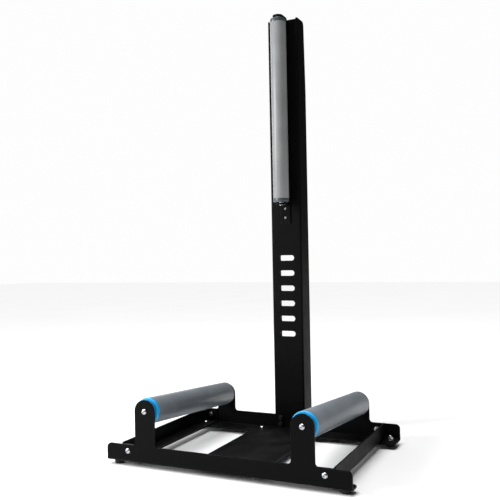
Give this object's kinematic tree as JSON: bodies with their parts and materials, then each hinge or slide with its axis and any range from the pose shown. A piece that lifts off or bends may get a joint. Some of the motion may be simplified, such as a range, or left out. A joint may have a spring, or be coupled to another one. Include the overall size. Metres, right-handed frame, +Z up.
{
  "type": "wheel dolly",
  "caption": "Low sheet-steel floor frame whose tilted free-turning rollers cradle an upright wheel, with a mast and upright roller that the wheel leans on.",
  "frame": {"origin": "on the floor, under the middle of the bounding box", "axes": "+X across the frame to the right-hand roller, seen from the open front; +Y from the open front to the mast; +Z up"},
  "size_m": [0.494, 0.3856, 0.937],
  "materials": {
    "powder_coat": "satin black powder coat, fine texture",
    "grey_pvc": "satin grey PVC tube",
    "blue_plastic": "satin sky-blue moulded plastic",
    "grey_plastic": "satin grey moulded plastic",
    "dark_plastic": "satin dark grey moulded plastic",
    "zinc_plate": "bright zinc plate",
    "black_oxide": "black oxide steel",
    "axle_steel": "drawn steel",
    "bearing_steel": "ground bearing steel",
    "seal_rubber": "black seal",
    "foot_rubber": "matt black rubber"
  },
  "bodies": {
    "root": {"front_side_plate": "powder_coat", "rear_side_plate": "powder_coat", "left_cross_bar": "powder_coat", "right_cross_bar": "powder_coat", "base_plate": "powder_coat", "mast_channel": "powder_coat", "mast_upper_bracket": "powder_coat", "mast_lower_bracket": "powder_coat", "left_roller_axle": "axle_steel", "right_roller_axle": "axle_steel", "mast_roller_axle": "axle_steel", "left_axle_spacers": "axle_steel", "right_axle_spacers": "axle_steel", "mast_axle_spacers": "axle_steel", "left_bearing_inner_rings": "bearing_steel", "right_bearing_inner_rings": "bearing_steel", "mast_bearing_inner_rings": "bearing_steel", "roller_axle_screws": "zinc_plate", "mast_axle_screws": "zinc_plate", "cross_bar_screws": "zinc_plate", "cross_bar_nuts": "zinc_plate", "bar_flange_screws": "zinc_plate", "bar_flange_nuts": "zinc_plate", "base_plate_screws": "zinc_plate", "base_plate_nuts": "zinc_plate", "mast_foot_screws": "black_oxide", "mast_foot_nuts": "black_oxide", "mast_bracket_screws": "zinc_plate", "foot_rubbers": "foot_rubber", "foot_studs": "zinc_plate", "foot_nuts": "zinc_plate", "foot_washers": "zinc_plate"},
    "left_roller": {"left_roller_tube": "grey_pvc", "left_front_end_cap": "blue_plastic", "left_rear_end_cap": "grey_plastic", "left_bearing_outer_rings": "bearing_steel", "left_bearing_balls": "bearing_steel", "left_bearing_seals": "seal_rubber"},
    "right_roller": {"right_roller_tube": "grey_pvc", "right_front_end_cap": "blue_plastic", "right_rear_end_cap": "grey_plastic", "right_bearing_outer_rings": "bearing_steel", "right_bearing_balls": "bearing_steel", "right_bearing_seals": "seal_rubber"},
    "mast_roller": {"mast_roller_tube": "grey_pvc", "mast_upper_end_cap": "dark_plastic", "mast_lower_end_cap": "dark_plastic", "mast_bearing_outer_rings": "bearing_steel", "mast_bearing_balls": "bearing_steel"}
  },
  "joints": [
    {"name": "left_roller_spin", "type": "hinge", "parent": "root", "child": "left_roller", "pos_m": [-0.16, -0.18921, 0.108], "axis": [0, 0.9969, -0.0785], "continuous": true},
    {"name": "right_roller_spin", "type": "hinge", "parent": "root", "child": "right_roller", "pos_m": [0.16, -0.18921, 0.108], "axis": [0, 0.9969, -0.0785], "continuous": true},
    {"name": "mast_roller_spin", "type": "hinge", "parent": "root", "child": "mast_roller", "pos_m": [0, 0.12209, 0.5165], "axis": [0, 0, 1], "continuous": true}
  ]
}
